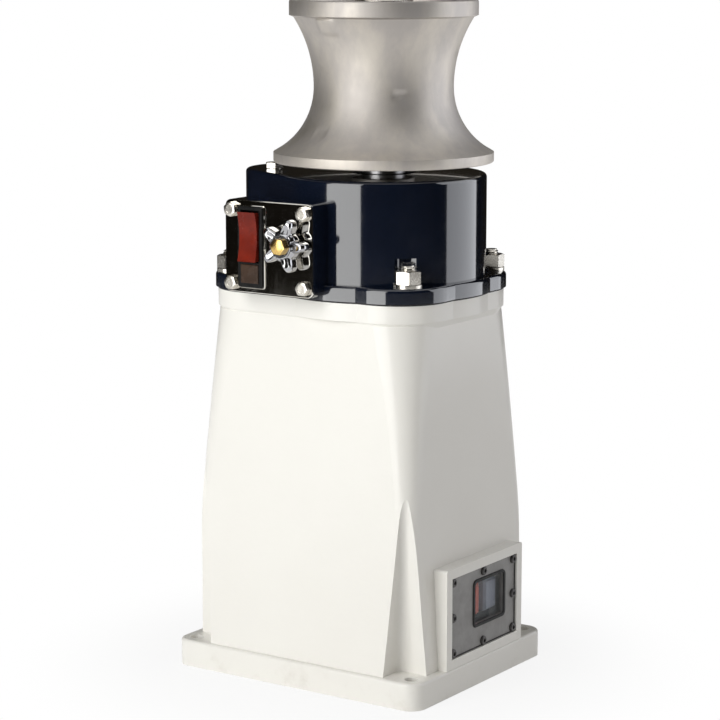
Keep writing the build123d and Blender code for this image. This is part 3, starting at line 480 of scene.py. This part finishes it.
def frameShape(wide, tall, corner, section, steps=6):
    # closed strip round a rounded rectangle; section rows are (outward, height)
    points, faces = [], []
    for quarter in range(4):
        across = (wide / 2 - corner) * (1 if quarter in (0, 3) else -1)
        up = (tall / 2 - corner) * (1 if quarter in (0, 1) else -1)
        for step in range(steps + 1):
            angle = math.pi / 2 * (quarter + step / steps)
            for out, height in section:
                reach = corner + out
                points.append((across + reach * math.cos(angle), up + reach * math.sin(angle), height))
    rows, size = 4 * (steps + 1), len(section)
    for row in range(rows):
        here, after = row * size, (row + 1) % rows * size
        for part in range(size):
            more = (part + 1) % size
            faces.append((here + part, after + part, after + more, here + more))
    return points, faces


def joinShapes(shapes):
    points, faces = [], []
    for more, rows in shapes:
        start = len(points)
        points += more
        faces += [tuple(start + i for i in row) for row in rows]
    return points, faces


def moved(shape, matrix):
    return [tuple(matrix @ Vector(p)) for p in shape[0]], shape[1]


def smoothMesh(name, points, faces, sharp):
    data = bpy.data.meshes.new(name)
    data.from_pydata(points, [], faces)
    data.validate()
    shape = bmesh.new()
    shape.from_mesh(data)
    bmesh.ops.remove_doubles(shape, verts=shape.verts, dist=weldGap)
    bmesh.ops.recalc_face_normals(shape, faces=shape.faces)
    shape.to_mesh(data)
    shape.free()
    data.shade_smooth()
    data.set_sharp_from_angle(angle=math.radians(sharp))
    return data


def makePiece(name, shape, slot, body, instead=(), sharp=30, finish=None):
    # edges bent by more than sharp degrees stay sharp
    obj = addObject(name, smoothMesh(name, *shape, sharp))
    obj.data.materials.append(finishes[finish or slot])
    if instead:
        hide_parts(*instead)
    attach(obj, body)


# rope drum: turned skin with the groove line of its rim and the marks of its casting

ropeDrum = {
    "footLip": 0.0025, "footThickness": 0.0095, "waist": 0.056, "waistHeight": 0.060, "neck": 0.072,
    "headInset": 0.013, "headThickness": 0.0135, "pan": 0.066, "panDepth": 0.005,
    "edge": 0.0015, "edgeCut": 0.29,
    "wall": 0.008, "neckWall": 0.012, "web": 0.011, "hub": 0.025, "hubDrop": 0.005, "bore": 0.01402,
    "grooveRadius": 0.0705, "grooveWidth": 0.0009, "grooveDepth": 0.0007,
    "sides": 240, "steps": 32, "innerSteps": 6,
    "steepness": 6,  # of the marks' sides
    "marks": [  # angle, height, half width, half height, rise
        (-97, 0.1085, 0.0092, 0.0064, 0.0018),  # pad under the rim
        (-46, 0.0560, 0.0034, 0.0024, -0.0010), (-40.5, 0.0565, 0.0026, 0.0020, -0.0008),
        (-104, 0.0255, 0.006, 0.004, -0.0006), (20, 0.090, 0.005, 0.004, -0.0005),
        (118, 0.048, 0.0045, 0.004, -0.0006), (205, 0.083, 0.006, 0.003, 0.0005),
    ],
}


def waistArc(end, waist, steps):
    # radius and height along the arc that stands upright at the waist
    run, rise = end[0] - waist[0], end[1] - waist[1]
    radius = (run * run + rise * rise) / (2 * run)
    sweep = math.atan2(rise, radius - run)
    angles = [sweep * step / steps for step in range(steps, -1, -1)]
    return [(waist[0] + radius * (1 - math.cos(t)), waist[1] + radius * math.sin(t)) for t in angles]


def makeRopeDrum(look):
    low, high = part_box("drum")
    centre = middle("drum")
    base = low[2] + look["hubDrop"]
    top = high[2] - base
    foot = (high[0] - low[0]) / 2
    head = foot - look["headInset"]
    edge, cut, pan = look["edge"], look["edge"] * look["edgeCut"], top - look["panDepth"]
    neckHeight = top - look["headThickness"]
    waist = (look["waist"], look["waistHeight"])
    footEnd = (foot - look["footLip"], look["footThickness"])
    neckEnd = (look["neck"], neckHeight)
    innerWaist = (waist[0] - look["wall"], waist[1])
    innerFoot = (footEnd[0] - look["neckWall"], look["footThickness"])
    innerNeck = (look["neck"] - look["neckWall"], pan - look["web"])
    groove, half = look["grooveRadius"], look["grooveWidth"] / 2
    outline = [innerFoot, (foot - look["wall"], 0), (foot - edge, 0)]
    outline += [
        (foot - edge * (1 - math.sin(t)), edge * (1 - math.cos(t))) for t in (math.pi / 6, math.pi / 3)]
    outline += [(foot, edge), (foot, look["footThickness"] - edge)]
    outline += waistArc(footEnd, waist, look["steps"])
    outline += list(reversed(waistArc(neckEnd, waist, look["steps"])))[1:]
    outline += [
        (head, neckHeight + edge), (head, top - edge), (head - cut, top - cut), (head - edge, top),
        (groove + half, top), (groove, top - look["grooveDepth"]), (groove - half, top),
        (look["pan"] + edge, top), (look["pan"], pan), (look["bore"], pan),
        (look["bore"], -look["hubDrop"]), (look["hub"], -look["hubDrop"]),
        (look["hub"], pan - look["web"]), innerNeck]
    outline += waistArc(innerNeck, innerWaist, look["innerSteps"])[1:]
    outline += list(reversed(waistArc(innerFoot, innerWaist, look["innerSteps"])))[1:-1]

    def ring(radius, height):
        marked = footEnd[1] < height < neckHeight and radius >= look["waist"]

        def at(angle):
            rise = 0
            for bearing, level, across, up, proud in look["marks"] if marked else ():
                off = (math.degrees(angle) - bearing + 180) % 360 - 180
                side = math.radians(off) * radius / across
                fall = -side ** look["steepness"] - ((height - level) / up) ** look["steepness"]
                rise += proud * math.exp(fall)
            return radius + rise, height
        return at

    shape = turned([ring(*point) for point in outline], look["sides"])
    place = Matrix.Translation((centre.x, centre.y, base))
    makePiece("ropeDrum", moved(shape, place), "cast_stainless", "drum", ["drum"], sharp=24)


makeRopeDrum(ropeDrum)
print("rope drum made")


# studs of the gear case, with cut threads, and their nuts

hexHead = {
    "chamfer": 0.42, "seat": 0.03, "seatShare": 0.97,
    "dish": 0.28, "dishLip": 1.08, "dishDepth": 0.012, "sides": 72, "sharp": 26,
}
caseStud = {
    "radius": 0.006, "pitch": 0.00175, "threadDepth": 0.0009, "threadStart": 0.5, "pitchRows": 8,
    "tipLength": 0.0012, "tipSlope": 0.9, "sides": 40,
}
caseNut = {"flats": 0.019, "height": 0.0108, "bore": 0.0056, "lip": 0.0007, "turns": (11, -24, 37, 5)}


def studShape(length, threadFrom, look):
    # the thread climbs as a true helix, so each ring's radius depends on the angle
    radius, pitch = look["radius"], look["pitch"]
    rows = int((length - threadFrom) / pitch * look["pitchRows"])

    def ring(height):
        def at(angle):
            cut = 0
            if height > threadFrom:
                phase = (height / pitch - angle / (2 * math.pi)) % 1
                fade = min(1, (height - threadFrom) / pitch)
                cut = look["threadDepth"] * (1 - abs(2 * phase - 1)) * fade
            taper = max(0, height - (length - look["tipLength"])) * look["tipSlope"]
            return radius - cut - taper, height
        return at

    heights = [0, threadFrom]
    heights += [threadFrom + (length - threadFrom) * row / rows for row in range(1, rows + 1)]
    rings = plainRings((axisRadius, 0)) + [ring(height) for height in heights]
    return turned(rings + plainRings((axisRadius, length)), look["sides"])


def nutShape(look):
    flats, height, bore, lip = look["flats"], look["height"], look["bore"], look["lip"]
    face = flats * faceShare
    rings = plainRings((face, 0))
    rings += [hexRing(flats, 0, -hexHead["chamfer"]), hexRing(flats, height, hexHead["chamfer"])]
    rings += plainRings(
        (face, height), (bore + lip, height), (bore, height - lip), (bore, lip), (bore + lip, 0))
    return turned(rings, hexHead["sides"])


def makeCaseStuds(look):
    low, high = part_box("case_studs")
    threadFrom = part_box("case_nuts")[0][2] + caseNut["height"] * look["threadStart"] - low[2]
    stud = studShape(high[2] - low[2], threadFrom, look)
    spots = cornerSpots("case_studs", (0, 1), (look["radius"], look["radius"]))
    makePiece("threadedStuds", joinShapes([
        moved(stud, Matrix.Translation((x, y, low[2]))) for x, y in spots]),
        "bright_steel", "frame", ["case_studs"], sharp=40)


def makeCaseNuts(look):
    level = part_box("case_nuts")[0][2]
    nut = nutShape(look)
    spots = cornerSpots("case_studs", (0, 1), (caseStud["radius"], caseStud["radius"]))
    makePiece("flangeNuts", joinShapes([
        moved(nut, Matrix.Translation((x, y, level)) @ spun(angle))
        for (x, y), angle in zip(spots, look["turns"])]),
        "bright_steel", "frame", ["case_nuts"], sharp=hexHead["sharp"])


makeCaseStuds(caseStud)
makeCaseNuts(caseNut)


# bolt of the drum cap and plug of the oil filler

capBolt = {"flats": 0.019, "head": 0.0075, "shank": 0.006, "turn": 12}
oilPlug = {"flats": 0.013, "head": 0.005, "shank": 0.005, "turn": 41}


def boltShape(look, depth):
    # head with a washer face below and a shallow dish on top; the shank goes down from its seat
    flats, head, shank = look["flats"], look["head"], look["shank"]
    face, washer = flats * faceShare, flats * hexHead["seat"]
    seat = face * hexHead["seatShare"]
    dish, floor = flats * hexHead["dish"], head - flats * hexHead["dishDepth"]
    rings = plainRings((axisRadius, -depth), (shank, -depth), (shank, 0), (seat, 0), (seat, washer))
    rings += [hexRing(flats, washer), hexRing(flats, head, hexHead["chamfer"])]
    rings += plainRings(
        (face, head), (dish * hexHead["dishLip"], head), (dish, floor), (axisRadius, floor))
    return turned(rings, hexHead["sides"])


def makeUprightBolt(name, node, body, look):
    low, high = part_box(node)
    spot, seat = middle(node), high[2] - look["head"]
    place = Matrix.Translation((spot.x, spot.y, seat)) @ spun(look["turn"])
    shape = boltShape(look, seat - low[2])
    makePiece(name, moved(shape, place), "bright_steel", body, [node], sharp=hexHead["sharp"])


makeUprightBolt("capBolt", "cap_bolt", "drum", capBolt)
makeUprightBolt("oilPlug", "oil_plug", "frame", oilPlug)
print("studs, nuts, cap bolt and oil plug made")


# switch plate: its four bolts and the bright trim round the switch

plateBolt = {"flats": 0.010, "head": 0.005, "shank": 0.003, "turns": (21, 8, 27, 14)}
switchTrim = {
    "width": 0.0008, "rise": 0.0009, "corner": 0.0015,
    "profile": ((0, 0), (1, 0), (1, 0.4), (0.5, 1), (0, 1)),  # shares of width and rise
}


def makePlateBolts(look):
    low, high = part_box("plate_bolts")
    seat = low[1] + look["head"]
    bolt = boltShape(look, high[1] - seat)
    spots = cornerSpots("plate_bolts", (0, 2), (look["flats"] / math.sqrt(3), look["flats"] / 2))
    makePiece("plateBolts", joinShapes([
        moved(bolt, Matrix.Translation((x, seat, z)) @ outOfPlate @ spun(angle))
        for (x, z), angle in zip(spots, look["turns"])]),
        "bright_steel", "frame", ["plate_bolts"], sharp=hexHead["sharp"])


def makeSwitchTrim(look):
    low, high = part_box("switch_bezel")
    section = [(look["width"] * out, look["rise"] * up) for out, up in look["profile"]]
    shape = frameShape(high[0] - low[0], high[2] - low[2], look["corner"], section)
    spot, face = middle("switch_bezel"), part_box("switch_plate")[0][1]
    place = Matrix.Translation((spot.x, face, spot.z)) @ outOfPlate
    makePiece("switchTrim", moved(shape, place), "mirror_plate", "frame")


makePlateBolts(plateBolt)
makeSwitchTrim(switchTrim)


# speed knob: five-lobed grip and its cap nut

speedGrip = {
    "lobes": 5, "reach": 0.021, "valley": 0.0125, "valleyShare": 0.33, "crestShare": 0.90,
    "backRound": 0.0022, "frontRound": 0.0038, "roundSteps": 5,
    "dish": 0.0014, "dishRows": ((1.5, 0.3), (2, 1)),  # front rounds inwards, share of the dish
    "hub": 0.0095, "hubRise": 0.001, "hubGap": 0.0003, "hubEdge": 0.0005, "bore": 0.0031,
    "sides": 240,
}
capNut = {
    "flats": 0.0115, "height": 0.005, "bore": 0.0031, "turn": 24,
    "dome": 0.0009, "domeShare": 0.96, "domeAngles": (0, 0.25, 0.5, 0.8, 1.1, 1.35),
}


def makeSpeedGrip(look):
    low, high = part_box("speed_knob")
    spot = middle("knob_spindle")
    hub, back, front, gap = look["hub"], look["backRound"], look["frontRound"], look["hubGap"]
    thick = high[1] - low[1] - look["hubRise"]
    floor, top = thick - look["dish"], thick + look["hubRise"]

    def lobed(inset, height):
        def at(angle):
            share = abs(angle * look["lobes"] / (2 * math.pi) % 1 - 0.5) * 2
            climb = (share - look["valleyShare"]) / (look["crestShare"] - look["valleyShare"])
            climb = min(1, max(0, climb))
            reach = look["valley"] + (look["reach"] - look["valley"]) * climb * climb * (3 - 2 * climb)
            return max(reach - inset, hub + gap), height
        return at

    arcs = [math.pi / 2 * step / look["roundSteps"] for step in range(look["roundSteps"] + 1)]
    rings = plainRings((look["bore"], 0), (hub, 0))
    rings += [lobed(back * (1 - math.sin(t)), back * (1 - math.cos(t))) for t in arcs]
    rings += [lobed(front * (1 - math.cos(t)), thick - front * (1 - math.sin(t))) for t in arcs]
    rings += [lobed(front * inwards, thick - look["dish"] * deep) for inwards, deep in look["dishRows"]]
    rings += plainRings(
        (hub + gap, floor), (hub, floor + gap), (hub, thick + look["hubRise"] / 2),
        (hub - look["hubEdge"], top), (look["bore"], top))
    place = Matrix.Translation((spot.x, high[1], spot.z)) @ outOfPlate
    shape = turned(rings, look["sides"])
    makePiece("speedGrip", moved(shape, place), "chrome_knob", "knob", ["speed_knob"], sharp=40)


def makeCapNut(look):
    flats, height, bore, dome = look["flats"], look["height"], look["bore"], look["dome"]
    face, rim = flats * faceShare, height - dome
    crown = face * look["domeShare"]
    rings = plainRings((bore, 0), (face, 0))
    rings += [hexRing(flats, 0, -hexHead["chamfer"]), hexRing(flats, rim, hexHead["chamfer"])]
    rings += plainRings(*[
        (crown * math.cos(t), rim + dome * math.sin(t)) for t in look["domeAngles"]])
    rings += plainRings((axisRadius, height), (axisRadius, dome), (bore, dome))
    spot, back = middle("knob_nut"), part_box("knob_nut")[1][1]
    place = Matrix.Translation((spot.x, back, spot.z)) @ outOfPlate @ spun(look["turn"])
    shape = turned(rings, hexHead["sides"])
    makePiece("capNut", moved(shape, place), "brass", "knob", ["knob_nut"], sharp=hexHead["sharp"])


makeSpeedGrip(speedGrip)
makeCapNut(capNut)
print("switch plate pieces made")


# terminal box: socket screws, and dark rubber beads round the cover and the pane, put there as painted
# shade for the shadow line of the gaps

coverScrew = {
    "radius": 0.00375, "head": 0.002, "shank": 0.0018, "socketFlats": 0.0032, "socketDepth": 0.0012,
    "headRows": ((1, 0.35), (0.93, 0.72), (0.74, 1)),  # shares of the radius and of the head
    "turn": 15, "turnStep": 37, "sides": 48,
}
shadeBeadSection = {"shoulders": (0.8, 0.2), "gap": 0.00002}  # shoulders are shares of the width
coverShadeBead = {"width": 0.0009, "rise": 0.0006, "corner": 0.0015}
paneShadeBead = {"width": 0.0030, "rise": 0.0012, "corner": 0.005}


def makeCoverScrews(look):
    low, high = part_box("cover_screws")
    radius, head, shank = look["radius"], look["head"], look["shank"]
    seat = high[0] - head
    tip, socket = low[0] - seat, head - look["socketDepth"]
    rings = plainRings((shank, tip), (shank, 0), (radius, 0))
    rings += plainRings(*[(radius * out, head * up) for out, up in look["headRows"]])
    rings += [hexRing(look["socketFlats"], level) for level in (head, socket)]
    rings += plainRings((axisRadius, socket), (axisRadius, tip))
    screw = turned(rings, look["sides"])
    spot = middle("cover_screws")
    across, up = ((low[i] + radius, spot[i], high[i] - radius) for i in (1, 2))
    spots = [(y, z) for y in across for z in up if (y, z) != (across[1], up[1])]
    makePiece("coverScrews", joinShapes([
        moved(screw, Matrix.Translation((seat, y, z)) @ outOfCover
              @ spun(look["turn"] + look["turnStep"] * count))
        for count, (y, z) in enumerate(spots)]),
        "bright_steel", "frame", ["cover_screws"], finish="dark_steel")


def makeShadeBead(name, node, look, edges):
    # dark strip of painted shade on the cover's face, standing in for the gap's shadow, with its outer
    # edge along the node's outline
    low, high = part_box(node)
    spot, face = middle(node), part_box("terminal_cover")[1][0]
    section = [(-look["width"], 0)]
    section += [(-look["width"] * share, look["rise"]) for share in edges["shoulders"]]
    section.append((-edges["gap"], 0))
    shape = frameShape(high[1] - low[1], high[2] - low[2], look["corner"], section)
    place = Matrix.Translation((face, spot.y, spot.z)) @ outOfCover
    makePiece(name, moved(shape, place), "gasket_rubber", "frame")


makeCoverScrews(coverScrew)
# both beads are dark strips of painted shade, where the gaps round the cover and the pane cast a shadow
# line
makeShadeBead("coverShadeBead", "terminal_cover", coverShadeBead, shadeBeadSection)
makeShadeBead("paneShadeBead", "window_pane", paneShadeBead, shadeBeadSection)
print("terminal box pieces made")


# studio: pale floor, plain world, three tall lamps and a dark room that only shows in gloss

studioFloor = {
    "size": 14, "colour": rgb(0.90, 0.90, 0.89),
    "clearFrom": 0.10, "clearTo": 0.30, "leastClear": 0.85,  # white share near the part; 1 beyond clearTo
}
worldLight = 0.22
softBoxes = {  # turn is in degrees from the camera's bearing
    "keyBox": {
        "turn": -44, "distance": 1.60, "width": 1.14, "height": 1.9, "glow": 4.15,
        "tint": (0.98, 0.98, 0.965), "lights": True, "mirrored": True},
    "fillBox": {
        "turn": 97, "distance": 1.60, "width": 1.50, "height": 1.9, "glow": 2.1,
        "tint": (0.93, 0.95, 1.0), "lights": False, "mirrored": True},
    "sideBox": {
        "turn": 80, "distance": 1.62, "width": 1.20, "height": 1.9, "glow": 0.75,
        "tint": (1.0, 0.96, 0.95), "lights": True, "mirrored": False},
}
lampLift = 0.01
darkRoom = {
    "radius": 2.15, "height": 3.2, "sides": 48,
    "colour": rgb(0.004, 0.0035, 0.003), "glow": rgb(0.018, 0.015, 0.011), "cloudScale": 1.4,
}


def makeFloor(look):
    data = bpy.data.meshes.new("studioFloor")
    half = look["size"] / 2
    corners = [(-half, -half, 0), (half, -half, 0), (half, half, 0), (-half, half, 0)]
    data.from_pydata(corners, [], [(0, 1, 2, 3)])
    obj = addObject("studioFloor", data)
    f = newFinish("paleFloor")
    distance = f.add("VectorMath", {"operation": "LENGTH"}, {0: f.place()}, "Value")
    clear = f.step(distance, look["clearFrom"], look["clearTo"], look["leastClear"], 1) * f.seen()
    matt = f.add("BsdfDiffuse", {}, {"Color": look["colour"]})
    plain = f.add("Emission", {}, {"Color": white, "Strength": 1.0})
    data.materials.append(f.show(f.add("MixShader", {}, {0: clear, 1: matt, 2: plain})))


def makeWorld(light):
    f = Finish(bpy.data.worlds.new("studioWorld"))
    lamp = f.add("Background", {}, {"Color": white, "Strength": light})
    plain = f.add("Background", {}, {"Color": white, "Strength": 1.0})
    mixed = f.add("MixShader", {}, {0: f.seen(), 1: lamp, 2: plain})
    bpy.context.scene.world = f.show(mixed, "OutputWorld")


def makeSoftBox(name, look):
    angle = math.radians(camera["bearing"] + look["turn"])
    away = Vector((math.sin(angle), -math.cos(angle), 0))
    data = bpy.data.lights.new(name, "AREA")
    data.shape = "RECTANGLE"
    data.size, data.size_y = look["width"], look["height"]
    data.energy = look["glow"] * math.pi * look["width"] * look["height"]
    data.color = look["tint"]
    obj = addObject(name, data)
    aim(obj, away * look["distance"] + Vector((0, 0, look["height"] / 2 + lampLift)), -away)
    obj.visible_camera = False
    obj.visible_diffuse = look["lights"]
    obj.visible_glossy = look["mirrored"]


def makeDarkRoom(look):
    sides, radius = look["sides"], look["radius"]
    angles = [2 * math.pi * side / sides for side in range(sides)]
    points = [(radius * math.cos(t), radius * math.sin(t), z) for z in (0, look["height"]) for t in angles]
    faces = [(i, (i + 1) % sides, sides + (i + 1) % sides, sides + i) for i in range(sides)]
    data = bpy.data.meshes.new("darkRoom")
    data.from_pydata(points, [], faces)
    obj = addObject("darkRoom", data)
    f = newFinish("darkRoom")
    cloud = f.step(f.noise(look["cloudScale"], 3, 0.6), 0.35, 0.7)
    glow = f.add("Emission", {}, {"Color": f.mix(cloud, look["colour"], look["glow"]), "Strength": 1.0})
    data.materials.append(f.show(glow))
    for ray in ("camera", "diffuse", "transmission", "volume_scatter", "shadow"):
        setattr(obj, "visible_" + ray, False)


makeFloor(studioFloor)
makeWorld(worldLight)
for name, look in softBoxes.items():
    makeSoftBox(name, look)
makeDarkRoom(darkRoom)
print("studio ready")
